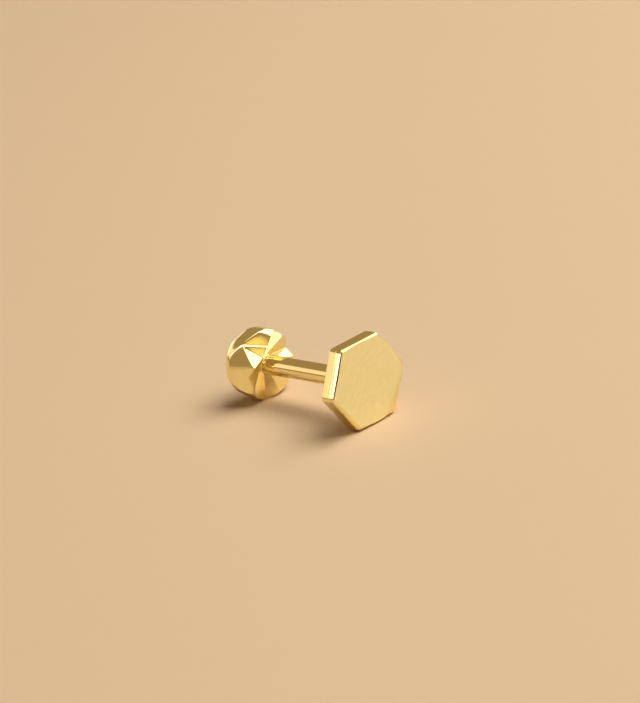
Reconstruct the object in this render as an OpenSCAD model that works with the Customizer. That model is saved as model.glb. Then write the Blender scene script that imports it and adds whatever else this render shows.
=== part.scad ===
// Tragus earring: a six-sided stud with a screw back, lying on its side.
// It rests on one flat of the plate and on the wall of the back. The plate faces -Y,
// the post runs along +Y, and the origin is under the middle, on the floor.

/* [Plate] */
// Width of the plate from flat to flat
plate_w = 5; // [4.6:0.1:7]
// Thickness of the plate
plate_t = 0.95; // [0.7:0.05:1.4]
// Rounding of the plate's six corners
corner_r = 0.35; // [0.2:0.05:0.6]
// Rounding of the edge around the front face
front_edge = 0.18; // [0.1:0.02:0.3]

/* [Post] */
// Diameter of the post
post_d = 1.2; // [0.8:0.1:1.6]
// Length of post between the plate and the back
wear_len = 7.5; // [5:0.5:10]
// Length of threaded post inside the back
thread_len = 2; // [1.4:0.1:2]
// Bevel at the end of the post
tip_bevel = 0.15; // [0.05:0.05:0.25]

/* [Screw back] */
// Diameter of the back
back_d = 4.2; // [3.8:0.1:4.6]
// Length of the back's round wall, with the rounded rear edge
wall_len = 1.6; // [1.5:0.05:2]
// Rounding of the rear edge
rear_round = 1; // [0.6:0.1:1.2]
// Rounding of the shoulder around the inner face
inner_round = 0.7; // [0.5:0.05:0.75]
// Height of the domed rear face
rear_rise = 0.25; // [0.1:0.05:0.3]
// Height of the domed inner face above its wall
inner_rise = 1; // [0.95:0.05:1.1]
// Gap all round between the post and the hole in the back
hole_gap = 0.03; // [0.02:0.01:0.05]
// Free room at the bottom of the hole
hole_room = 0.1; // [0.1:0.05:0.2]

/* [Hidden] */

CORNERS = 6;
ROUND = 96;
CORNER_ROUND = 32;

// Plate: circle through its sharp corners, and the centres of its corner rounds.
plate_r = plate_w / 2 / cos(180 / CORNERS);
corner_at = plate_r - corner_r / cos(180 / CORNERS);

back_r = back_d / 2;

// Star of the inner face: seven grooves, filed by eye, so no two are the same. All but
// one run through the star's middle, which lies beside the post. Each groove is a list of
// flat faces, and each face holds its rise to the right, its rise upwards (both for each
// millimetre, seen from the plate), and its height over the middle.
STAR_MIDDLE = [-0.42, 0.62, 0.64];
GROOVE_TABLE = [
    [[0.20, -0.26, -0.02], [0.02, -0.42, -0.02]],
    [[0.23, -0.22, -0.10], [-0.033, -0.81, 0.353], [0.10, -0.52, -0.02]],
    [[-0.62, 1.16, 0], [0.33, -0.10, 0]],
    [[-0.32, 0.30, 0], [0.78, 0.33, 0]],
    [[-0.23, 0.02, 0], [-0.02, 0.28, 0]],
    [[-0.74, -1.60, 0], [-0.30, 0.59, 0]],
    [[0.18, -1.00, 0], [-0.53, 0.48, 0]],
];
RIGHT = 0;
UP = 1;
HEIGHT = 2;
cut_reach = 6;

// Slanted flat filed on the shoulder: the angle that it faces, how far it leans to the
// inner face, and its distance from the middle of the wall's end.
FLAT_FACES = 171;
FLAT_LEAN = 27.5;
flat_at = 0.74 * back_r;

// Domes of the back: the radius whose cap has the stated height over the whole width.
inner_crown = 0.75;
function cap_radius(rise) = (back_r * back_r + rise * rise) / (2 * rise);
inner_r = cap_radius(inner_crown);
rear_r = cap_radius(rear_rise);

// Hole in the back.
hole_d = post_d + 2 * hole_gap;
hole_depth = thread_len + hole_room;

// How the stud lies: one flat of the plate and the round of the back touch the floor.
face_at = wear_len + inner_rise;
round_at = face_at + wall_len - rear_round;
round_drop = plate_w / 2 - back_r + rear_round;
lean = acos(rear_round / norm([round_drop, round_at])) - atan2(round_at, round_drop);
axis_z = plate_w / 2 * cos(lean);

// Shift along Y that puts the middle of the whole stud over the origin.
front_y = -plate_t * cos(lean) - (plate_w / 2 - front_edge) * sin(lean);
rear_y = rear_r + (face_at + wall_len - rear_r) * cos(lean);
middle_y = -(front_y + rear_y) / 2;

module plate_outline(inset) {
    hull()
        for (i = [0 : CORNERS - 1])
            rotate(i * 360 / CORNERS)
                translate([0, corner_at])
                    circle(r = corner_r - inset, $fn = CORNER_ROUND);
}

// The plate's rear face is at z = 0, and its front face at z = plate_t.
module plate() {
    slice = 0.01;
    hull() {
        linear_extrude(plate_t - front_edge) plate_outline(0);
        translate([0, 0, plate_t - 0.4 * front_edge])
            linear_extrude(slice) plate_outline(0.2 * front_edge);
        translate([0, 0, plate_t - slice])
            linear_extrude(slice) plate_outline(front_edge);
    }
}

module post() {
    length = wear_len + thread_len;
    sunk = plate_t / 2;
    rotate_extrude($fn = ROUND)
        polygon([
            [0, sunk],
            [post_d / 2, sunk],
            [post_d / 2, -length + tip_bevel],
            [post_d / 2 - tip_bevel, -length],
            [0, -length],
        ]);
}

// Outline of the back, from its axis outwards. The wall ends in the shoulder at z = 0.
module back_profile() {
    intersection() {
        translate([0, -wall_len]) square([back_r, wall_len + inner_rise]);
        translate([0, inner_rise - inner_r]) circle(r = inner_r, $fn = 360);
        translate([0, rear_r - wall_len]) circle(r = rear_r, $fn = 360);
        union() {
            translate([0, rear_round - wall_len])
                square([back_r, wall_len - rear_round]);
            translate([0, -wall_len])
                square([back_r - rear_round, wall_len + inner_rise]);
            square([back_r - inner_round, inner_rise]);
            translate([back_r - rear_round, rear_round - wall_len])
                circle(r = rear_round, $fn = ROUND);
            translate([back_r - inner_round, 0])
                circle(r = inner_round, $fn = ROUND);
        }
    }
}

// Everything over one flat face of the star.
module over_face(face) {
    translate(STAR_MIDDLE + [0, 0, face[HEIGHT]])
        rotate([0, atan(norm([face[RIGHT], face[UP]])), atan2(-face[UP], -face[RIGHT])])
            translate([-cut_reach, -cut_reach, 0])
                cube(2 * cut_reach);
}

module shoulder_flat() {
    rotate([0, 90 - FLAT_LEAN, FLAT_FACES])
        translate([-cut_reach, -cut_reach, flat_at])
            cube(2 * cut_reach);
}

module back() {
    difference() {
        rotate_extrude($fn = ROUND) back_profile();
        for (groove = GROOVE_TABLE)
            intersection_for (face = groove)
                over_face(face);
        shoulder_flat();
        translate([0, 0, inner_rise - hole_depth])
            cylinder(h = hole_depth, d = hole_d, $fn = ROUND);
    }
}

// Lays the stud down: its axis, from the back to the plate, leans up along -Y.
module lie_down() {
    translate([0, middle_y, axis_z])
        rotate([90 - lean, 0, 0])
            children();
}

module hexagon_stud() {
    color([0.86, 0.68, 0.33])
        lie_down() {
            rotate(180 / CORNERS) plate();
            post();
        }
}

module screw_back() {
    color([0.90, 0.72, 0.30])
        lie_down()
            translate([0, 0, -face_at])
                back();
}

hexagon_stud();
screw_back();
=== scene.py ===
# %% [markdown]
# # A six-sided gold stud with a screw back
#
# The stud is five millimetres wide. Its maker saws a thick plate, rounds the corners,
# brushes the front and polishes the sides. A round post is soldered behind the plate,
# and a small button with a star cut into its inner face screws onto the post's end.
#
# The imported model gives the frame: two nodes in the right place, made with few faces.
# Loading it first means that each finer piece can be set on the same axes and sizes,
# and that nothing has to be fitted by eye afterwards.

import math

import bmesh
import bpy
import numpy as np
from mathutils import Matrix, Vector


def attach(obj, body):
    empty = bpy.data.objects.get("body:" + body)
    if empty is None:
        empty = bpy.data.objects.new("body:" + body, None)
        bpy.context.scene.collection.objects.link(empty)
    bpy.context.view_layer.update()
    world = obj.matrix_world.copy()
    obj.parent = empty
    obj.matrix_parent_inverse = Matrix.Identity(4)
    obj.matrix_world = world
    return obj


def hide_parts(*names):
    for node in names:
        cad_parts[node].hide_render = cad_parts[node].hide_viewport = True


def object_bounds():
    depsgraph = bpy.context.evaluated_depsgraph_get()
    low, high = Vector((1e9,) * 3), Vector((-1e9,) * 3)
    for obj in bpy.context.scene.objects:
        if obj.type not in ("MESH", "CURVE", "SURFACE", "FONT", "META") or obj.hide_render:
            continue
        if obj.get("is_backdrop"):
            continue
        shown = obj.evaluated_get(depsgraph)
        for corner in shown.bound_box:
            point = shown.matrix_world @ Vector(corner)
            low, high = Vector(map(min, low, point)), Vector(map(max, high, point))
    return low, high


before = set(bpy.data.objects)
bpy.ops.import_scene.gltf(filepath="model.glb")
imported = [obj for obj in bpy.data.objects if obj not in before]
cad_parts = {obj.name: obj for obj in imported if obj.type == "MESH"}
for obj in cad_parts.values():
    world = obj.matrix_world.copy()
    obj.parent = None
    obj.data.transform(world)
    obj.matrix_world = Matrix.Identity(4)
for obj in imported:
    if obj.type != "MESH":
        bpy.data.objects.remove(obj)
cad_box = [list(corner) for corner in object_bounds()]

# %% [markdown]
# ## The stud's own axes
#
# On the bench a stud is made along its post: the plate's rear face is at zero, the
# front faces +Z, and the post runs down -Z. In the frame it lies on its side, resting
# on a flat of the plate and on the button's wall, so its axis leans a little.
#
# The pieces could be modelled lying down, but every sum would then carry the lean.
# Here each piece is worked out along its post in millimetres, and one matrix lays it
# down. The matrix repeats the sums of the CAD source, from the same sizes.

# %% Sizes and the matrix that lays a piece down
MM = 0.001
PLATE_W = 5.0
PLATE_T = 0.95
CORNER_R = 0.35
FRONT_EDGE = 0.18
POST_R = 0.6
WEAR_LEN = 7.5
THREAD_LEN = 2.0
BACK_R = 2.1
WALL_LEN = 1.6
REAR_ROUND = 1.0
INNER_ROUND = 0.7
INNER_RISE = 1.0
REAR_CROWN = 0.25
INNER_CROWN = 0.75
HOLE_GAP = 0.03
HOLE_ROOM = 0.1
HOLE_R = POST_R + HOLE_GAP
HOLE_DEPTH = THREAD_LEN + HOLE_ROOM
FACE_AT = WEAR_LEN + INNER_RISE


def dome_radius(crown):
    """Radius in mm of a dome that rises by its crown over the button's width."""
    return (BACK_R * BACK_R + crown * crown) / (2 * crown)


REAR_DOME_R = dome_radius(REAR_CROWN)
INNER_DOME_R = dome_radius(INNER_CROWN)


def laid_down():
    """The matrix from the stud's own axes to the frame, in metres."""
    run = FACE_AT + WALL_LEN - REAR_ROUND
    drop = PLATE_W / 2 - BACK_R + REAR_ROUND
    lean = math.acos(REAR_ROUND / math.hypot(drop, run)) - math.atan2(run, drop)
    front = -PLATE_T * math.cos(lean) - (PLATE_W / 2 - FRONT_EDGE) * math.sin(lean)
    rear = REAR_DOME_R + (FACE_AT + WALL_LEN - REAR_DOME_R) * math.cos(lean)
    middle = -(front + rear) / 2
    axis_height = PLATE_W / 2 * math.cos(lean)
    print(f"lean {math.degrees(lean):.4f} degrees, axis at {axis_height:.4f} mm")
    place = Matrix.Translation((0, middle * MM, axis_height * MM))
    return place @ Matrix.Rotation(math.radians(90) - lean, 4, "X")


LAID_DOWN = laid_down()

# %% [markdown]
# ## The camera
#
# A photographer shoots such a small thing with a long lens from a hand's breadth away,
# and from a little above the table. The camera here stands where the plate's corners,
# its thickness and the button's outline fall on the same places as in the photograph.
# It is tilted about its own axis, because the stud in the photograph has rolled a
# little off its flat.
#
# A camera could be aimed with a constraint. Three written directions are used instead,
# because they also hold the tilt and need nothing else in the scene.

# %% Directions of the camera
CAMERA_TURN = -0.6426
CAMERA_RISE = 0.3290
CAMERA_ROLL = -0.2445


def camera_axes(turn, rise, roll):
    """Right, up and backward directions of a camera that looks at the stud."""
    flat = math.cos(rise)
    backward = np.array([math.sin(turn) * flat, math.sin(rise), math.cos(turn) * flat])
    level = np.array([math.cos(turn), 0.0, -math.sin(turn)])
    raised = np.cross(backward, level)
    right = math.cos(roll) * level + math.sin(roll) * raised
    up = -math.sin(roll) * level + math.cos(roll) * raised
    return right, up, backward


right, up, backward = camera_axes(CAMERA_TURN, CAMERA_RISE, CAMERA_ROLL)
print("camera looks along", (-backward).round(3), "on the stud's own axes")

# %% Place the camera
CAMERA_AWAY = 160.0
PIXELS_PER_MM = 17.2555
PICTURE_HEIGHT = 703
SENSOR = 36
POST_MIDDLE = -4.7
MOVED_RIGHT = 0.8674
MOVED_UP = 1.1168

aim = np.array([0.0, 0.0, POST_MIDDLE]) + MOVED_RIGHT * right + MOVED_UP * up
stand = aim + CAMERA_AWAY * backward
axes = Matrix.Identity(4)
for column, direction in enumerate((right, up, backward)):
    for row in range(3):
        axes[row][column] = direction[row]
for row in range(3):
    axes[row][3] = stand[row] * MM

camera_data = bpy.data.cameras.new("camera")
camera_data.sensor_width = SENSOR
camera_data.lens = PIXELS_PER_MM * CAMERA_AWAY * SENSOR / PICTURE_HEIGHT
camera_data.clip_start = 0.001
camera_data.clip_end = 5
camera = bpy.data.objects.new("camera", camera_data)
bpy.context.scene.collection.objects.link(camera)
camera.matrix_world = LAID_DOWN @ axes
bpy.context.scene.camera = camera
print("camera at", [round(v * 1000, 1) for v in camera.matrix_world.translation], "mm")

# %% [markdown]
# ## A skin over rings
#
# Both pieces are turned or filed work, and both can be described as closed lines
# stacked along the axis: a six-sided line at the plate, round ones at the post. A skin
# stretched over such rings gives even, four-sided faces that follow each edge, and it
# closes with one point at each end. Turning a profile would only give round shapes,
# and cutting solids from each other leaves long thin faces that shine badly.

# %% Helpers that skin rings and lay a piece down
def skin(name, first, rings, last):
    """A closed mesh over rings of points in mm, with one point at each end."""
    count = len(rings[0])
    shape = bmesh.new()
    start = shape.verts.new(np.array(first) * MM)
    rows = []
    for ring in rings:
        rows.append([shape.verts.new(point * MM) for point in ring])
    end = shape.verts.new(np.array(last) * MM)
    for here in range(count):
        after = (here + 1) % count
        shape.faces.new((start, rows[0][here], rows[0][after]))
        shape.faces.new((end, rows[-1][after], rows[-1][here]))
        for low, high in zip(rows, rows[1:]):
            shape.faces.new((low[here], high[here], high[after], low[after]))
    bmesh.ops.recalc_face_normals(shape, faces=shape.faces)
    for face in shape.faces:
        face.smooth = True
    print(name, "has", len(shape.faces), "faces")
    return shape


def lay_piece(name, shape, body, node):
    """Makes a piece from a mesh, lays it down, and lets it stand for its node."""
    mesh = bpy.data.meshes.new(name)
    shape.to_mesh(mesh)
    shape.free()
    mesh.transform(LAID_DOWN)
    piece = bpy.data.objects.new(name, mesh)
    bpy.context.scene.collection.objects.link(piece)
    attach(piece, body)
    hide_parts(node)
    return piece


# %% [markdown]
# ## The plate's outline
#
# The plate is sawn from sheet and filed to six flats. Its corners are rounded a third
# of a millimetre, so that it doesn't catch on hair. The outline is a list of points
# with the direction that faces outwards at each, close together on the rounds and
# wider apart on the flats.
#
# A circle of six points with a bevel would give the same line. Writing the points out
# also gives the outward directions, which every ring of the plate needs.

# %% Outline of the plate
CORNERS = 6
CORNER_TURN = 60
ROUND_STEPS = 14
FLAT_STEPS = 14


def plate_outline():
    """Points of the outline and the outward direction at each, anticlockwise."""
    points = []
    outward = []
    half_turn = math.radians(CORNER_TURN / 2)
    centre_at = (PLATE_W / 2 - CORNER_R) / math.cos(half_turn)
    run = 2 * (PLATE_W / 2 - CORNER_R) * math.tan(half_turn)
    for corner in range(CORNERS):
        turn = math.radians(CORNER_TURN * corner)
        centre = centre_at * np.array([math.cos(turn), math.sin(turn)])
        for step in range(ROUND_STEPS + 1):
            angle = turn + math.radians(CORNER_TURN * step / ROUND_STEPS - CORNER_TURN / 2)
            direction = np.array([math.cos(angle), math.sin(angle)])
            points.append(centre + CORNER_R * direction)
            outward.append(direction)
        from_point = points[-1]
        along = np.array([-direction[1], direction[0]])
        for step in range(1, FLAT_STEPS):
            share = 0.5 - 0.5 * math.cos(math.pi * step / FLAT_STEPS)
            points.append(from_point + run * share * along)
            outward.append(direction)
    return np.array(points), np.array(outward)


outline, outward = plate_outline()
print("outline of", len(outline), "points,", round(2 * outline[:, 1].max(), 3), "mm from flat to flat")

# %% [markdown]
# ## How the front edge is worn round
#
# The front edge is softened by hand on a wheel, so it isn't the same all round: tight at
# the top, wider at the upper left corner, and widest along the two lower flats, where
# the brushed face runs over the edge. A table of widths at each corner and flat says
# this better than one bevel would, and a smooth blend between them keeps the edge fair.

# %% Width of the front edge around the plate
# Degrees clockwise from the top, as seen from the front, and the width there in mm.
EDGE_WIDTHS = {
    0: 0.11, 30: 0.17, 60: 0.11, 90: 0.22, 120: 0.16, 150: 0.30,
    180: 0.15, 210: 0.30, 240: 0.30, 270: 0.17, 300: 0.23, 330: 0.20,
}


def eased(share):
    """A share from zero to one that starts and ends gently."""
    return share * share * (3 - 2 * share)


def edge_widths(points):
    """Width of the rounded front edge in mm at each outline point."""
    table = np.array([EDGE_WIDTHS[angle] for angle in sorted(EDGE_WIDTHS)])
    clock = np.degrees(np.arctan2(points[:, 0], points[:, 1])) % 360
    place = clock / (360 / len(table))
    below = np.floor(place).astype(int)
    share = eased(place - below)
    return table[below % len(table)] * (1 - share) + table[(below + 1) % len(table)] * share


widths = edge_widths(outline)
print("front edge from", round(widths.min(), 3), "to", round(widths.max(), 3), "mm wide")

# %% [markdown]
# ## Rings of the plate
#
# From the post outwards the rings run over the flat rear face, round the rear edge,
# and up the side. The side is a straight strip behind, then a narrow facet that leans
# in and a fine groove, and then a small band up to the front edge, which leans in by a
# hair. The facet catches the fine bright line that the photograph shows along the left
# side, and the far wall of the groove draws the darker line beside it.
#
# On the front, the rings go over the soft edge and then shrink towards the middle.
# Loop cuts and bevels could do the same by hand, but rings keep every edge where a
# number says it is.

# %% Helpers for rings
FILLET_R = 0.1
turns = np.arctan2(outline[:, 1], outline[:, 0])
spokes = np.stack([np.cos(turns), np.sin(turns)], axis=1)
foot = spokes * (POST_R + FILLET_R)


def ring_at(flat_points, height):
    """Joins points of the plane with one height, or with a height for each."""
    heights = np.broadcast_to(height, len(flat_points))
    return np.column_stack([flat_points, heights])


def inset(depth):
    """The outline moved inwards by a depth in mm, or by a depth for each point."""
    return outline - outward * np.broadcast_to(depth, len(outline))[:, None]


def quarter(steps):
    """Angles of a quarter turn, in even steps."""
    return [math.radians(90 * step / steps) for step in range(steps + 1)]


print("post's foot is", round(2 * (POST_R + FILLET_R), 2), "mm wide")

# %% Rings from the post to the middle of the face
# Rows of the side are height and depth in mm: strip and facet, then groove and band.
SIDE_PROFILE = [(0.07, 0.001), (0.25, 0.0), (0.42, 0.0), (0.435, 0.001), (0.49, 0.021), (0.50, 0.022)]
GROOVE_PROFILE = [(0.515, 0.020), (0.55, 0.002), (0.56, 0.001), (0.61, 0.002)]
BAND_LEAN = 0.016
REAR_EDGE = 0.05
HAIR = 0.001
REAR_STEPS = 4
FRONT_STEPS = 16
REAR_SHARES = (0.02, 0.3, 0.6, 0.85, 0.97)
FACE_SHARES = (0.995, 0.985, 0.96, 0.92, 0.86, 0.78, 0.68, 0.56, 0.42, 0.28, 0.14, 0.05)


def plate_rings():
    """Rings over the rear face, the side, the front edge and the front face."""
    rings = []
    for share in REAR_SHARES:
        rings.append(ring_at(foot * (1 - share) + inset(REAR_EDGE) * share, 0.0))
    for angle in quarter(REAR_STEPS):
        depth = HAIR + (REAR_EDGE - HAIR) * (1 - math.sin(angle))
        rings.append(ring_at(inset(depth), REAR_EDGE * (1 - math.cos(angle))))
    for height, depth in SIDE_PROFILE + GROOVE_PROFILE:
        rings.append(ring_at(inset(depth), height))
    for angle in quarter(FRONT_STEPS):
        depth = BAND_LEAN + (widths - BAND_LEAN) * (1 - math.cos(angle))
        rings.append(ring_at(inset(depth), PLATE_T - widths + widths * math.sin(angle)))
    rim = inset(widths)
    for share in FACE_SHARES:
        rings.append(ring_at(rim * share, PLATE_T))
    return rings


plate_part = plate_rings()
print("plate of", len(plate_part), "rings")

# %% [markdown]
# ## The post and its thread
#
# The post is drawn wire with a small fillet of solder at its foot. Its last two
# millimetres are cut with a fine thread, which only shows when the back is screwed
# off. The thread is a real helix: each ring dips where the groove passes it, so the
# dips move round from ring to ring. It fades out at both ends, and no crest stands
# prouder than the wire it was cut from.
#
# A swept groove could be cut from a cylinder instead. The rings need no cutting, and
# they run on into the plate.

# %% Depth of the thread
PITCH = 0.3
THREAD_DEEP = 0.07
THREAD_FROM = -7.75
THREAD_TO = -9.34
FADE_IN = 0.25
FADE_OUT = 0.08
GROOVE_POWER = 1.5


def groove_wave(height, angles):
    """One in the middle of the thread's groove, and zero on its crest."""
    turn = height / PITCH + angles / (2 * math.pi)
    return (0.5 + 0.5 * np.cos(2 * math.pi * turn)) ** GROOVE_POWER


def thread_dip(height, angles):
    """Depth of the thread's groove in mm at a height, for each angle."""
    fade = min(1.0, (THREAD_FROM - height) / FADE_IN, (height - THREAD_TO) / FADE_OUT)
    return THREAD_DEEP * max(fade, 0.0) * groove_wave(height, angles)


print("thread of", round((THREAD_FROM - THREAD_TO) / PITCH, 1), "turns")

# %% Rings of the post
# Distance in mm from a bend to the ring that keeps it sharp.
HOLD = 0.02
# Radius in mm, and height over the post's end.
POST_TIP = [(0.25, 0.0), (0.43, 0.0), (0.455, 0.005), (0.585, 0.135), (POST_R, 0.155)]
POST_HEIGHTS = (-7.6, -6.5, -5.0, -3.5, -2.0, -1.0, -0.4, -FILLET_R - HOLD)
THREAD_STEP = 0.03
FILLET_STEPS = 6


def post_rings():
    """Rings from the end of the post up to its foot on the plate."""
    end = -WEAR_LEN - THREAD_LEN
    rings = []
    for radius, height in POST_TIP:
        rings.append(ring_at(spokes * radius, end + height))
    for height in np.arange(THREAD_TO, THREAD_FROM + THREAD_STEP / 2, THREAD_STEP):
        radii = POST_R - thread_dip(height, turns)
        rings.append(ring_at(spokes * radii[:, None], height))
    for height in POST_HEIGHTS:
        rings.append(ring_at(spokes * POST_R, height))
    for angle in quarter(FILLET_STEPS):
        radius = POST_R + FILLET_R * (1 - math.cos(angle))
        rings.append(ring_at(spokes * radius, -FILLET_R * (1 - math.sin(angle))))
    return rings


post_part = post_rings()
print("post of", len(post_part), "rings,", round(-post_part[0][0][2], 2), "mm long")

# %% [markdown]
# ## One piece of soldered metal
#
# Plate and post are soldered, so they are one solid and one skin: the rings of the
# post run straight into those of the plate. Two things are then done to the face. It
# is crowned by a hundredth of a millimetre, as a face brushed by hand is. And its lower
# right corner is tipped, where it was polished at a slant.
#
# The polished corner starts at a straight line across the face. The mesh is cut along
# that line, and beside it on both sides, before the corner is tipped, so that the
# crease is clean however the rings lie.

# %% Crown of the face and the tipped corner
# The face falls by the crown where the square of the distance from its middle is CROWN_R2.
CROWN = 0.012
CROWN_R2 = 7
FRONT_FROM = 0.7
# The corner's line: its direction outwards, to the right and up, and its distance.
CORNER_RIGHT = 0.70
CORNER_UP = -0.714
CORNER_AT = 2.06
CORNER_TIP = math.radians(6)


def settle_face(points):
    """Crowns the face, and tips the corner that was polished at a slant."""
    radius2 = points[:, 0] ** 2 + points[:, 1] ** 2
    front = np.clip((points[:, 2] - FRONT_FROM) / (PLATE_T - FRONT_FROM), 0, 1)
    beyond = CORNER_RIGHT * points[:, 0] + CORNER_UP * points[:, 1] - CORNER_AT
    tipped = math.tan(CORNER_TIP) * np.maximum(beyond, 0)
    points[:, 2] -= front * (CROWN * radius2 / CROWN_R2 + tipped)
    return points


print("corner tipped by", round(math.degrees(CORNER_TIP)), "degrees")

# %% Skin the stud
CORNER_CUTS = (2.03, 2.05, 2.07, 2.10)
FACE_FROM = 0.9

stud_shape = skin("stud", (0, 0, -WEAR_LEN - THREAD_LEN), post_part + plate_part, (0, 0, PLATE_T))
corner_line = Vector((CORNER_RIGHT, CORNER_UP, 0.0))
for offset in CORNER_CUTS:
    face_parts = [f for f in stud_shape.faces if f.calc_center_median().z > FACE_FROM * MM]
    edges = {e for f in face_parts for e in f.edges}
    corners = {v for f in face_parts for v in f.verts}
    bmesh.ops.bisect_plane(
        stud_shape,
        geom=face_parts + list(edges) + list(corners),
        plane_co=corner_line * offset * MM,
        plane_no=corner_line,
    )
for vert in stud_shape.verts:
    if vert.co.z > FRONT_FROM * MM:
        vert.co = Vector(settle_face(np.array([vert.co]) / MM)[0]) * MM
stud = lay_piece("brushed_stud", stud_shape, "stud", "hexagon_stud")
print("stud has", len(stud.data.vertices), "points")

# %% [markdown]
# ## The star in the button
#
# Seven grooves are filed into the button's inner face, and all but one run through one
# point beside the post. Each groove is V-shaped, with flat faces. Where two grooves
# meet, a sharp ridge is left, and where a ridge runs out to the edge, a piece of the
# domed face is left as a land. They are filed by eye, so no two are the same.
#
# The grooves could be cut with boolean solids. A height is worked out instead: a groove
# is the highest of its faces, and the star is the lowest of its grooves. A soft highest
# and lowest value also gives the small rounding that polishing leaves on each edge. A
# small rounded collar stands round the hole and closes the star against the post.

# %% Heights of the star
STAR_X = -0.42
STAR_Y = 0.62
STAR_Z = 0.64
RIDGE_SOFT = 0.008
FLOOR_SOFT = 0.005
RIM_R = 0.608
COLLAR = 0.11
COLLAR_STEEP = 0.98
LARGEST_POWER = 600

# Faces as: rise to the right, rise upwards, height over the star's middle, and bend.
GROOVES = [
    [(0.20, -0.26, -0.02, 0.0), (0.02, -0.42, -0.02, 0.0)],
    [(0.23, -0.22, -0.10, 0.03), (-0.033, -0.81, 0.353, 0.0), (0.10, -0.52, -0.02, 0.0)],
    [(-0.62, 1.16, 0.0, 0.0), (0.33, -0.10, 0.0, 0.0)],
    [(-0.32, 0.30, 0.0, 0.0), (0.78, 0.33, 0.0, 0.0)],
    [(-0.23, 0.02, 0.0, 0.0), (-0.02, 0.28, 0.0, 0.0)],
    [(-0.74, -1.60, 0.0, 0.0), (-0.30, 0.59, 0.0, 0.0)],
    [(0.18, -1.00, 0.0, 0.0), (-0.53, 0.48, 0.0, 0.0)],
]


def growth(value):
    """The exponential of a value, kept within what a number can hold."""
    return np.exp(np.clip(value, -LARGEST_POWER, LARGEST_POWER))


def star_height(x, y):
    """Height of the star over the shoulder's foot, in mm."""
    over_x = np.asarray(x) - STAR_X
    over_y = np.asarray(y) - STAR_Y
    lowest = 0
    for faces in GROOVES:
        highest = 0
        for right_rise, up_rise, height, bend in faces:
            face = height + right_rise * over_x + up_rise * over_y - bend * over_x * over_x / 2
            highest = highest + growth(face / FLOOR_SOFT)
        groove = FLOOR_SOFT * np.log(highest)
        lowest = lowest + growth(-groove / RIDGE_SOFT)
    reach = np.clip(1 - (np.hypot(x, y) - RIM_R) / COLLAR, 0, 1)
    collar = COLLAR * (1 - np.sqrt(1 - COLLAR_STEEP * reach * reach))
    return STAR_Z - RIDGE_SOFT * np.log(lowest) + collar


print("star at the middle", round(float(star_height(STAR_X, STAR_Y)), 3), "mm")

# %% [markdown]
# ## The turned blank
#
# Before it was filed, the button was a small turned blank: a shallow dome inside, a
# round shoulder, a short wall, a wide rear round and an almost flat rear face. How far
# a point lies outside this blank is easy to say with circles. A turned profile would
# give the same blank as a mesh, but a distance can be joined softly to the filed faces.

# %% Distance from the turned blank
def outside_blank(radius, height):
    """Distance in mm that a point lies outside the turned blank."""
    inner_dome = np.hypot(radius, height - (INNER_RISE - INNER_DOME_R)) - INNER_DOME_R
    rear_dome = np.hypot(radius, height - (REAR_DOME_R - WALL_LEN)) - REAR_DOME_R
    wall = radius - BACK_R
    shoulder_r = BACK_R - INNER_ROUND
    shoulder = np.hypot(np.maximum(radius - shoulder_r, 0), np.maximum(height, 0)) - INNER_ROUND
    shoulder = np.where((height > 0) & (radius > shoulder_r), shoulder, wall)
    foot_r = BACK_R - REAR_ROUND
    foot_z = REAR_ROUND - WALL_LEN
    foot = np.hypot(np.maximum(radius - foot_r, 0), np.minimum(height - foot_z, 0)) - REAR_ROUND
    foot = np.where((height < foot_z) & (radius > foot_r), foot, wall)
    return np.maximum.reduce([inner_dome, rear_dome, shoulder, foot])


print("the wall's end has its middle", round(-float(outside_blank(0.0, 0.0)), 2), "mm inside the blank")

# %% [markdown]
# ## Flats on the wall and the shoulder
#
# The wall has been filed to six faint flats with round corners between them, and the
# shoulder has one slanted flat, which bends a little round the button. Both could be
# sliced off the mesh, which leaves ragged borders. Here the wall is a radius that
# changes with the angle, and the slanted flat is one more distance.

# %% Six faint flats on the wall
# Each flat: the angle that it faces, and its distance from the axis in mm.
WALL_FLATS = [(45, 2.05), (105, 2.07), (165, 2.09), (226, 2.06), (285, 2.05), (345, 2.06)]
WALL_CORNER_R = 2.14
WALL_SOFT = 0.006


def wall_radius(turn):
    """Radius of the wall in mm at an angle, with its six flats and round corners."""
    nearness = math.exp(1 / WALL_CORNER_R / WALL_SOFT)
    for faces, distance in WALL_FLATS:
        nearness += math.exp(math.cos(turn - math.radians(faces)) / distance / WALL_SOFT)
    return 1 / (WALL_SOFT * math.log(nearness))


radii = [wall_radius(math.radians(angle)) for angle in range(360)]
print("wall from", round(min(radii), 3), "to", round(max(radii), 3), "mm")

# %% One slanted flat on the shoulder
FLAT_FACES = math.radians(171)
FLAT_LEAN = math.radians(27.5)
FLAT_AT = 1.553
FLAT_BEND = 0.8


def outside_flat(radius, height, turn):
    """Distance in mm that a point lies outside the slanted flat on the shoulder."""
    off = (turn - FLAT_FACES + math.pi) % (2 * math.pi) - math.pi
    level = radius * math.cos(FLAT_BEND * off)
    return level * math.cos(FLAT_LEAN) + height * math.sin(FLAT_LEAN) - FLAT_AT


print("flat cuts", round(float(outside_flat(BACK_R, 0.0, FLAT_FACES)), 3), "mm off the wall's end")

# %% [markdown]
# ## Lines over the filed button
#
# The filed button is what is left inside the blank and the flats, and under the star.
# The three distances are joined by a soft highest value, so each filed edge is slightly
# round, and a little more so at the top.
#
# A ray from inside the metal then finds the surface in each direction. That gives one
# clean line per angle, from the rear face over the wall to the hole's rim. Its points
# are spread by length and by bend, so that they gather at the edges.

# %% Distance from the filed button
SOFT_EDGE = 0.009
SOFT_TOP = 0.010
TOP_AT = 98
TOP_WIDE = 32
STAR_SLOPE = 1.1
WALL_FROM = 1.0
WALL_BLEND = 0.9


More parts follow.
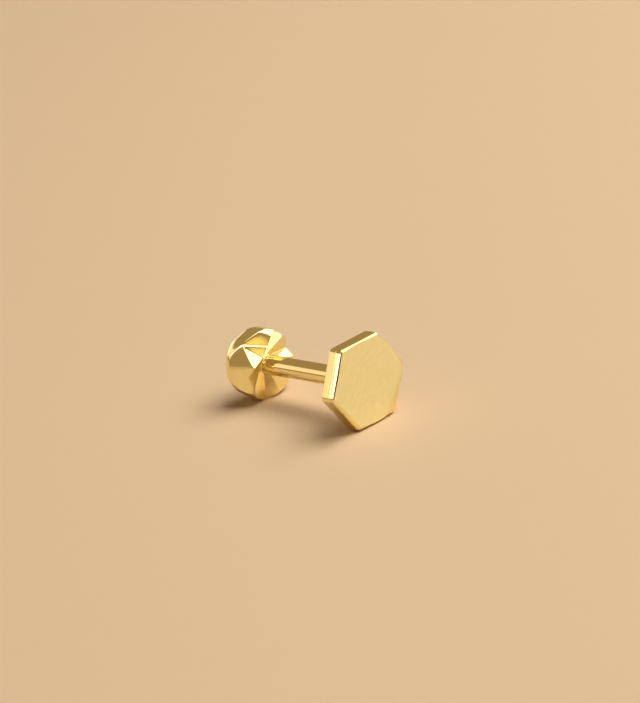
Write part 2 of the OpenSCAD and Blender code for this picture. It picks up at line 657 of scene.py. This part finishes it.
def edge_soft(turn):
    """Softness in mm of the edge around the star, which is wider at the top."""
    off_top = (math.degrees(turn) - TOP_AT + 180) % 360 - 180
    return SOFT_EDGE + SOFT_TOP * math.exp(-(off_top / TOP_WIDE) ** 4)


def outside_button(radius, height, turn):
    """Distance in mm that a point lies outside the filed button."""
    top = star_height(radius * np.cos(turn), radius * np.sin(turn))
    near_wall = eased(np.clip((radius - WALL_FROM) / WALL_BLEND, 0, 1))
    over_star = (height - top) / STAR_SLOPE
    over_blank = outside_blank(radius + near_wall * (BACK_R - wall_radius(turn)), height)
    over_flat = outside_flat(radius, height, turn)
    larger = np.maximum.reduce([over_star, over_blank, over_flat])
    soft = edge_soft(turn)
    softened = 0
    for over in (over_star, over_blank, over_flat):
        softened = softened + np.exp((over - larger) / soft)
    return larger + soft * np.log(softened)


print("edge softened by", SOFT_EDGE, "to", round(edge_soft(math.radians(TOP_AT)), 3), "mm")

# %% Line of the button at one angle
# The rays start inside the metal, at this distance from the axis and this height.
INSIDE_R = 1.0
INSIDE_Z = -0.7
REAR_R = 0.04
AIMS = 700
HALVINGS = 24
FARTHEST = 3.0
BEND_WEIGHT = 0.35
BEND_SPREAD = 9


def button_line(turn, count):
    """Points from the rear face to the hole's rim at one angle, in mm."""
    rim_z = float(star_height(RIM_R * math.cos(turn), RIM_R * math.sin(turn)))
    start = math.atan2(-WALL_LEN - INSIDE_Z, REAR_R - INSIDE_R)
    finish = math.atan2(rim_z - INSIDE_Z, RIM_R - INSIDE_R)
    aims = np.linspace(start, finish, AIMS)
    near = np.zeros(AIMS)
    far = np.full(AIMS, FARTHEST)
    for _ in range(HALVINGS):
        middle = (near + far) / 2
        radius = INSIDE_R + middle * np.cos(aims)
        height = INSIDE_Z + middle * np.sin(aims)
        out = outside_button(np.maximum(radius, 0), height, turn) > 0
        far = np.where(out, middle, far)
        near = np.where(out, near, middle)
    line = np.column_stack([INSIDE_R + near * np.cos(aims), INSIDE_Z + near * np.sin(aims)])
    steps = np.diff(line, axis=0)
    lengths = np.hypot(steps[:, 0], steps[:, 1])
    bends = np.abs(np.diff(np.unwrap(np.arctan2(steps[:, 1], steps[:, 0])), prepend=0))
    bends[0] = 0
    bends = np.convolve(bends, np.ones(BEND_SPREAD) / BEND_SPREAD, "same")
    travel = np.concatenate([[0], np.cumsum(lengths + BEND_WEIGHT * bends)])
    wanted = np.linspace(0, travel[-1], count)
    return np.column_stack([np.interp(wanted, travel, line[:, 0]), np.interp(wanted, travel, line[:, 1])])


sample = button_line(math.radians(90), 80)
print("button line reaches", sample.max(axis=0).round(3), "mm")

# %% [markdown]
# ## The button and its threaded hole
#
# The ridges don't run towards the post, so the lines stand evenly and close together,
# and the ridges cross them. From the rim the rings go down the blind hole. Its thread
# has the pitch of the post's, and its crests keep the small gap that lets the button
# turn freely. At the rim the hole is closed up to a hair, as the button sits there.
#
# The hole could be bored with a boolean. Going down with the same rings keeps the
# button one clean skin, from the rear face to the bottom of the hole.

# %% Rings of the hole
# Radius in mm, and depth under the rim.
RIM_PROFILE = [(RIM_R - 0.006, 0.004), (RIM_R - 0.008, 0.012), (RIM_R - 0.008, 0.05), (HOLE_R, 0.08)]
HOLE_THREAD_DEEP = 0.06
HOLE_THREAD_UNDER = 0.12
HOLE_THREAD_OVER = 0.06
HOLE_FADE = 0.15
HOLE_STEP = 0.0375
HOLE_END_R = 0.3
HOLE_END = INNER_RISE - HOLE_DEPTH


def hole_rings(around, angles, rim):
    """Rings from the rim of the hole down to its end."""
    rings = []
    for radius, depth in RIM_PROFILE:
        rings.append(ring_at(around * radius, rim - depth))
    top = rim.min() - HOLE_THREAD_UNDER
    for height in np.arange(top, HOLE_END + HOLE_THREAD_OVER, -HOLE_STEP):
        fade = min(1.0, (top - height) / HOLE_FADE, (height - HOLE_END) / HOLE_FADE)
        dips = HOLE_THREAD_DEEP * fade * groove_wave(height - FACE_AT, angles)
        rings.append(ring_at(around * (HOLE_R + dips)[:, None], height))
    rings.append(ring_at(around * HOLE_R, HOLE_END + HOLD))
    rings.append(ring_at(around * HOLE_R, HOLE_END))
    rings.append(ring_at(around * HOLE_END_R, HOLE_END))
    return rings


print("hole ends", round(-HOLE_END, 2), "mm behind the shoulder's foot")

# %% Skin the button
LINES = 540
LINE_POINTS = 130


def button_rings():
    """Rings from the rear face, over the wall and the star, down to the hole's end."""
    angles = np.linspace(0, 2 * math.pi, LINES, endpoint=False)
    around = np.stack([np.cos(angles), np.sin(angles)], axis=1)
    lines = np.array([button_line(angle, LINE_POINTS) for angle in angles])
    rings = []
    for place in range(LINE_POINTS):
        radii = lines[:, place, 0]
        rings.append(ring_at(around * radii[:, None], lines[:, place, 1]))
    return rings + hole_rings(around, angles, lines[:, -1, 1])


button_part = button_rings()
for ring in button_part:
    ring[:, 2] -= FACE_AT
button_shape = skin("button", (0, 0, -WALL_LEN - FACE_AT), button_part, (0, 0, HOLE_END - FACE_AT))
back = lay_piece("star_back", button_shape, "back", "screw_back")
print("button has", len(back.data.vertices), "points")

# %% [markdown]
# ## Marks that brushing and handling leave
#
# Two effects appear in both golds, so each is a node group that is built once.
#
# The first is fine marks: short scratches in one direction, from a brush or a
# polishing cloth. Noise that is stretched along one direction and squeezed across it
# looks like them, and costs less than drawing lines.
#
# The second is a film from handling: soft cloudy patches in which the metal is a
# little duller. It only changes the roughness and the colour slightly.

# %% Helpers for node groups
def new_group(name, inputs, outputs):
    """A shader group with named sockets, and its input and output nodes."""
    group = bpy.data.node_groups.new(name, "ShaderNodeTree")
    for label, kind in inputs:
        group.interface.new_socket(name=label, in_out="INPUT", socket_type=kind)
    for label, kind in outputs:
        group.interface.new_socket(name=label, in_out="OUTPUT", socket_type=kind)
    entry = group.nodes.new("NodeGroupInput")
    leave = group.nodes.new("NodeGroupOutput")
    return group, entry, leave


def math_node(tree, operation, first, second):
    """A math node whose two values are numbers or sockets."""
    node = tree.nodes.new("ShaderNodeMath")
    node.operation = operation
    for socket, value in zip(node.inputs, (first, second)):
        if isinstance(value, (int, float)):
            socket.default_value = value
        else:
            tree.links.new(value, socket)
    return node.outputs[0]


# %% Group of fine marks
FLOAT = "NodeSocketFloat"
VECTOR = "NodeSocketVector"
marks_group, marks_in, marks_out = new_group(
    "fine_marks",
    [("Place", VECTOR), ("Turn", FLOAT), ("Along", FLOAT), ("Across", FLOAT)],
    [("Height", FLOAT)],
)
turned = marks_group.nodes.new("ShaderNodeVectorRotate")
turned.rotation_type = "Z_AXIS"
marks_group.links.new(marks_in.outputs["Place"], turned.inputs["Vector"])
marks_group.links.new(marks_in.outputs["Turn"], turned.inputs["Angle"])
stretch = marks_group.nodes.new("ShaderNodeCombineXYZ")
marks_group.links.new(marks_in.outputs["Along"], stretch.inputs["X"])
marks_group.links.new(marks_in.outputs["Across"], stretch.inputs["Y"])
marks_group.links.new(marks_in.outputs["Across"], stretch.inputs["Z"])
stretched = marks_group.nodes.new("ShaderNodeVectorMath")
stretched.operation = "MULTIPLY"
marks_group.links.new(turned.outputs["Vector"], stretched.inputs[0])
marks_group.links.new(stretch.outputs["Vector"], stretched.inputs[1])
grain = marks_group.nodes.new("ShaderNodeTexNoise")
grain.inputs["Scale"].default_value = 1.0
grain.inputs["Detail"].default_value = 3.0
grain.inputs["Roughness"].default_value = 0.6
marks_group.links.new(stretched.outputs["Vector"], grain.inputs["Vector"])
marks_group.links.new(grain.outputs["Fac"], marks_out.inputs["Height"])
print("fine_marks has", len(marks_group.nodes), "nodes")

# %% Group of the handling film
film_group, film_in, film_out = new_group(
    "handling_film",
    [("Place", VECTOR), ("Size", FLOAT), ("Clean", FLOAT), ("Dull", FLOAT)],
    [("Roughness", FLOAT), ("Shade", FLOAT)],
)
cloud = film_group.nodes.new("ShaderNodeTexNoise")
cloud.inputs["Detail"].default_value = 4.0
film_group.links.new(film_in.outputs["Place"], cloud.inputs["Vector"])
film_group.links.new(film_in.outputs["Size"], cloud.inputs["Scale"])
spread = film_group.nodes.new("ShaderNodeMapRange")
spread.inputs["From Min"].default_value = 0.35
spread.inputs["From Max"].default_value = 0.7
film_group.links.new(cloud.outputs["Fac"], spread.inputs["Value"])
film_group.links.new(film_in.outputs["Clean"], spread.inputs["To Min"])
film_group.links.new(film_in.outputs["Dull"], spread.inputs["To Max"])
film_group.links.new(spread.outputs["Result"], film_out.inputs["Roughness"])
film_group.links.new(cloud.outputs["Fac"], film_out.inputs["Shade"])
print("handling_film has", len(film_group.nodes), "nodes")

# %% [markdown]
# ## Polished and brushed gold
#
# Gold is all reflection: it has no colour of its own beside the tint that it gives to
# what it mirrors. Polished gold is a metal with a low roughness, and the brushed face
# is the same metal with a rougher, finely grooved surface, painted a paler gold as a
# painted sheen, and paler still along the raised lines of its marks as a painted glint.
# The tipped corner is painted with part of that paler gold too. On the stud both are one
# material, because the brushed part fades into the polished edge. A mask that is
# worked out from the place on the plate says where the brush went: it stops sharply
# along the upper edges and runs softly over the lower ones.

# %% Helpers for materials
def start_material(name):
    """A metal material, with its shader and the place on the upright piece in mm."""
    material = bpy.data.materials.new(name)
    material.use_nodes = True
    tree = material.node_tree
    shader = tree.nodes["Principled BSDF"]
    shader.inputs["Metallic"].default_value = 1.0
    coordinates = tree.nodes.new("ShaderNodeTexCoord")
    place = tree.nodes.new("ShaderNodeMapping")
    place.vector_type = "TEXTURE"
    place.inputs["Location"].default_value = LAID_DOWN.translation
    place.inputs["Rotation"].default_value = LAID_DOWN.to_euler()
    place.inputs["Scale"].default_value = (MM, MM, MM)
    tree.links.new(coordinates.outputs["Object"], place.inputs["Vector"])
    return material, tree, shader, place.outputs["Vector"]


def place_group(tree, group, place, values):
    """Puts a group in a material, with its own values."""
    node = tree.nodes.new("ShaderNodeGroup")
    node.node_tree = group
    tree.links.new(place, node.inputs["Place"])
    for label, value in values.items():
        node.inputs[label].default_value = value
    return node


def add_bump(tree, shader, height, distance):
    """Raises the surface by a height map, whose full height is a distance in metres."""
    bump = tree.nodes.new("ShaderNodeBump")
    bump.inputs["Strength"].default_value = 1.0
    bump.inputs["Distance"].default_value = distance
    tree.links.new(height, bump.inputs["Height"])
    tree.links.new(bump.outputs["Normal"], shader.inputs["Normal"])


def wear_material(piece, material):
    """Gives a piece its only material."""
    piece.data.materials.clear()
    piece.data.materials.append(material)


# %% Helpers that blend values and colours
def ramp(tree, value, low, high, to_low, to_high):
    """A smooth step of one value between two others."""
    node = tree.nodes.new("ShaderNodeMapRange")
    node.interpolation_type = "SMOOTHSTEP"
    tree.links.new(value, node.inputs["Value"])
    node.inputs["From Min"].default_value = low
    node.inputs["From Max"].default_value = high
    node.inputs["To Min"].default_value = to_low
    node.inputs["To Max"].default_value = to_high
    return node.outputs["Result"]


def blend(tree, kind, share, first, second):
    """A colour or a value between two, by a share. A colour may be written out."""
    node = tree.nodes.new("ShaderNodeMix")
    node.data_type = kind
    tree.links.new(share, node.inputs["Factor"])
    for socket, value in ((node.inputs["A"], first), (node.inputs["B"], second)):
        if isinstance(value, tuple):
            socket.default_value = (*value, 1)
        else:
            tree.links.new(value, socket)
    return node.outputs["Result"]


# %% Where the brush went
# Between these heights on the face, the brushed part's border turns from soft to sharp.
BRUSH_TURNS = (-0.6, 0.1)
# The border's height over the rear face, with a minus, and how fast brushing sets in.
BRUSH_FROM = (-0.885, -0.931)
BRUSH_SHARP = (20.0, 150.0)
CORNER_FADE = (2.03, 2.09)

stud_gold, tree, shader, place = start_material("stud_gold")
parts = tree.nodes.new("ShaderNodeSeparateXYZ")
tree.links.new(place, parts.inputs[0])
brush_from = ramp(tree, parts.outputs["Y"], *BRUSH_TURNS, *BRUSH_FROM)
over_edge = math_node(tree, "ADD", parts.outputs["Z"], brush_from)
brush_sharp = ramp(tree, parts.outputs["Y"], *BRUSH_TURNS, *BRUSH_SHARP)
on_front = math_node(tree, "MULTIPLY", over_edge, brush_sharp)
on_front.node.use_clamp = True
slant = math_node(tree, "MULTIPLY", parts.outputs["X"], CORNER_RIGHT)
rise = math_node(tree, "MULTIPLY", parts.outputs["Y"], CORNER_UP)
beyond = math_node(tree, "ADD", slant, rise)
before_corner = ramp(tree, beyond, *CORNER_FADE, 1.0, 0.0)
brushed = math_node(tree, "MULTIPLY", on_front, before_corner)
corner = math_node(tree, "SUBTRACT", on_front, brushed)
print("brush mask of", len(tree.nodes), "nodes")

# %% Relief of the stud
FINE_SHARE = 0.4
HAIRLINE_SHARE = 0.08
STUD_RELIEF = 0.0000045

long_marks = place_group(tree, marks_group, place, {"Turn": -0.62, "Along": 2.0, "Across": 9.0})
fine_lines = place_group(tree, marks_group, place, {"Turn": -0.70, "Along": 6.0, "Across": 26.0})
hairlines = place_group(tree, marks_group, place, {"Turn": 0.4, "Along": 1.5, "Across": 30.0})
fine = math_node(tree, "MULTIPLY", fine_lines.outputs["Height"], FINE_SHARE)
marks = math_node(tree, "ADD", long_marks.outputs["Height"], fine)
marks = math_node(tree, "MULTIPLY", marks, brushed)
faint = math_node(tree, "MULTIPLY", hairlines.outputs["Height"], HAIRLINE_SHARE)
add_bump(tree, shader, math_node(tree, "ADD", marks, faint), STUD_RELIEF)
print("relief of the stud brings it to", len(tree.nodes), "nodes")

# %% Gold of the stud
POLISHED = (0.95, 0.80, 0.39)
# Both brushed golds are paler than the polished gold: a painted sheen.
SHEEN_GLINT_GOLD = (0.98, 0.95, 0.57)
SHEEN_GOLD = (0.94, 0.90, 0.53)
CORNER_DULL = 0.30
CORNER_SHEEN = 0.6
MARKS_FOR_ROUGH = (0.3, 0.7)
BRUSHED_ROUGH = (0.38, 0.48)
MARKS_FOR_LIT = (0.55, 0.85)

film = place_group(tree, film_group, place, {"Size": 0.9, "Clean": 0.07, "Dull": 0.13})
brushed_roughness = ramp(tree, long_marks.outputs["Height"], *MARKS_FOR_ROUGH, *BRUSHED_ROUGH)
corner_roughness = math_node(tree, "MULTIPLY", corner, CORNER_DULL)
smooth = math_node(tree, "ADD", film.outputs["Roughness"], corner_roughness)
roughness = blend(tree, "FLOAT", brushed, smooth, brushed_roughness)
tree.links.new(roughness, shader.inputs["Roughness"])
# Painted glint: the raised lines of the marks get the paler of the two brushed golds.
lit = ramp(tree, marks, *MARKS_FOR_LIT, 0.0, 1.0)
sheen_colour = blend(tree, "RGBA", lit, SHEEN_GOLD, SHEEN_GLINT_GOLD)
# Painted sheen: the tipped corner gets part of the brushed face's paler gold.
corner_sheen = math_node(tree, "MULTIPLY", corner, CORNER_SHEEN)
sheen_share = math_node(tree, "ADD", brushed, corner_sheen)
tree.links.new(blend(tree, "RGBA", sheen_share, POLISHED, sheen_colour), shader.inputs["Base Color"])
wear_material(stud, stud_gold)
print("stud_gold has", len(tree.nodes), "nodes")

# %% Gold of the back
BACK_PALE = (0.96, 0.85, 0.43)
BACK_DEEP = (0.94, 0.82, 0.39)
BACK_RELIEF = 0.0000008
FILM_SPAN = (0.3, 0.7)

back_gold, tree, shader, place = start_material("back_gold")
hairlines = place_group(tree, marks_group, place, {"Turn": 0.9, "Along": 1.2, "Across": 26.0})
film = place_group(tree, film_group, place, {"Size": 1.3, "Clean": 0.09, "Dull": 0.14})
add_bump(tree, shader, hairlines.outputs["Height"], BACK_RELIEF)
tree.links.new(film.outputs["Roughness"], shader.inputs["Roughness"])
shade = ramp(tree, film.outputs["Shade"], *FILM_SPAN, 0.0, 1.0)
tree.links.new(blend(tree, "RGBA", shade, BACK_PALE, BACK_DEEP), shader.inputs["Base Color"])
wear_material(back, back_gold)
print("back_gold has", len(tree.nodes), "nodes")

# %% [markdown]
# ## The floor
#
# A plain pale floor in a warm sand colour stands for the table. Its colour matters for
# more than the background: the undersides of the plate, the post and the button mirror
# it. It is a wide disc, far larger than the camera sees, with a matt finish.

# %% Floor
FLOOR_R = 0.6
SAND = (0.76, 0.53, 0.31)

floor_shape = bmesh.new()
bmesh.ops.create_circle(floor_shape, cap_ends=True, radius=FLOOR_R, segments=96)
floor_mesh = bpy.data.meshes.new("floor")
floor_shape.to_mesh(floor_mesh)
floor_shape.free()
floor = bpy.data.objects.new("floor", floor_mesh)
bpy.context.scene.collection.objects.link(floor)
floor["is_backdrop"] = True
floor_paint = bpy.data.materials.new("floor_paint")
floor_paint.use_nodes = True
floor_shader = floor_paint.node_tree.nodes["Principled BSDF"]
floor_shader.inputs["Base Color"].default_value = (*SAND, 1)
floor_shader.inputs["Roughness"].default_value = 0.75
floor_shader.inputs["Specular IOR Level"].default_value = 0.2
wear_material(floor, floor_paint)
print("floor is", 2 * FLOOR_R, "m wide")

# %% [markdown]
# ## Studio light
#
# Polished metal shows the room, so the lights are placed by what the gold should
# mirror. The key stands high on the right. Of the lights it alone shines on the floor,
# and it lays the shadow softly to the left. The other panels show only in the metal. One
# hangs before the key and is less bright, so that the upper facets turn pale yellow and
# not white. A window on the right lights the brushed face, those behind and at the left
# edge give the left side and the post their gold, and a long panel left of the camera
# gives the front edge its white line.
#
# Panels could be glowing meshes. Area lights are used, because they give less noise
# and stay out of the camera's sight.

# %% Lights
KEY_AWAY = 0.6
PANEL_AWAY = 0.5
# Watts for each square metre of a panel that has a brightness of one.
WATTS_PER_AREA = 4


def panel(name, turn, rise, width, height, brightness, tint=(1, 1, 1), on_floor=False):
    """A soft light. Its place and its size as seen from the stud are in degrees."""
    away = KEY_AWAY if on_floor else PANEL_AWAY
    data = bpy.data.lights.new(name, "AREA")
    data.shape = "RECTANGLE"
    data.size = 2 * away * math.tan(math.radians(width / 2))
    data.size_y = 2 * away * math.tan(math.radians(height / 2))
    data.energy = brightness * WATTS_PER_AREA * data.size * data.size_y
    data.color = tint
    light = bpy.data.objects.new(name, data)
    bpy.context.scene.collection.objects.link(light)
    turn = math.radians(turn)
    rise = math.radians(rise)
    towards = Vector((math.sin(turn) * math.cos(rise), math.cos(turn) * math.cos(rise), math.sin(rise)))
    light.location = towards * away
    light.rotation_euler = towards.to_track_quat("Z", "Y").to_euler()
    light.visible_camera = False
    light.visible_diffuse = on_floor
    light.visible_glossy = not on_floor


# Name, turn, rise, width, height and brightness, and the tint where a panel has one.
panel("key", 128, 58, 50, 42, 4.62, on_floor=True)
panel("overhead", 128, 58, 60, 50, 0.95, (1.0, 1.0, 0.92))
panel("right_window", 106, 25, 92, 34, 1.52, (1.0, 0.99, 0.95))
panel("window_behind", -15, 20, 56, 22, 0.63, (1.0, 0.82, 0.74))
panel("window_edge", -57, 22, 28, 26, 0.66, (1.0, 0.86, 0.70))
panel("behind_low", 8, 8, 36, 17, 0.84, (1.0, 0.92, 0.9))
panel("left_front", -109, 31, 74, 18, 2.0)
print("panels hung:", len(bpy.data.lights))

# %% [markdown]
# ## The room
#
# The room itself is the world's light. In the metal it is a quiet brown, which the gold
# turns into its dark olive parts. In front it has a darker patch, which draws the thin
# dark line beside the plate's bright front edge. The floor gets only a trace of it, and
# a straight look at it shows the same pale sand as the floor.
#
# Real walls would do the same. A world that answers each kind of ray is simpler, and
# keeps the floor's colour apart from what the gold mirrors.

# %% Room
ROOM_SEEN = (0.80, 0.62, 0.42)
ROOM_IN_METAL = (0.36, 0.25, 0.13)
ROOM_IN_FRONT = (0.05, 0.035, 0.02)
ROOM_ON_FLOOR = (0.025, 0.02, 0.015)
PATCH_AT = (-0.255, -0.951, 0.174)
PATCH_FADE = (0.94, 0.975)

world = bpy.data.worlds.new("room")
bpy.context.scene.world = world
world.use_nodes = True
room = world.node_tree
room.nodes.clear()
seen = room.nodes.new("ShaderNodeBackground")
seen.inputs["Color"].default_value = (*ROOM_SEEN, 1)
fill = room.nodes.new("ShaderNodeBackground")
fill.inputs["Color"].default_value = (*ROOM_ON_FLOOR, 1)
quiet = room.nodes.new("ShaderNodeBackground")
towards = room.nodes.new("ShaderNodeTexCoord")
facing = room.nodes.new("ShaderNodeVectorMath")
facing.operation = "DOT_PRODUCT"
facing.inputs[1].default_value = PATCH_AT
room.links.new(towards.outputs["Generated"], facing.inputs[0])
off_patch = ramp(room, facing.outputs["Value"], *PATCH_FADE, 1.0, 0.0)
room.links.new(blend(room, "RGBA", off_patch, ROOM_IN_FRONT, ROOM_IN_METAL), quiet.inputs["Color"])
print("room has", len(room.nodes), "nodes so far")

# %% What each kind of ray sees of the room
rays = room.nodes.new("ShaderNodeLightPath")
soften = room.nodes.new("ShaderNodeMixShader")
choose = room.nodes.new("ShaderNodeMixShader")
result = room.nodes.new("ShaderNodeOutputWorld")
room.links.new(rays.outputs["Is Diffuse Ray"], soften.inputs[0])
room.links.new(quiet.outputs[0], soften.inputs[1])
room.links.new(fill.outputs[0], soften.inputs[2])
room.links.new(rays.outputs["Is Camera Ray"], choose.inputs[0])
room.links.new(soften.outputs[0], choose.inputs[1])
room.links.new(seen.outputs[0], choose.inputs[2])
room.links.new(choose.outputs[0], result.inputs["Surface"])
bpy.context.scene.view_settings.view_transform = "Standard"
bpy.context.scene.view_settings.look = "None"
print("room has", len(room.nodes), "nodes in all")

# %% [markdown]
# ## The size of the stud
#
# The dressed stud has to keep the size of the CAD model. Both boxes are printed, so
# that they can be compared.

# %% Print the sizes
dressed_box = [list(corner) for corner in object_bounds()]
for label, box in (("cad", cad_box), ("dressed", dressed_box)):
    print(label, [round((high - low) * 1000, 3) for low, high in zip(*box)], "mm")
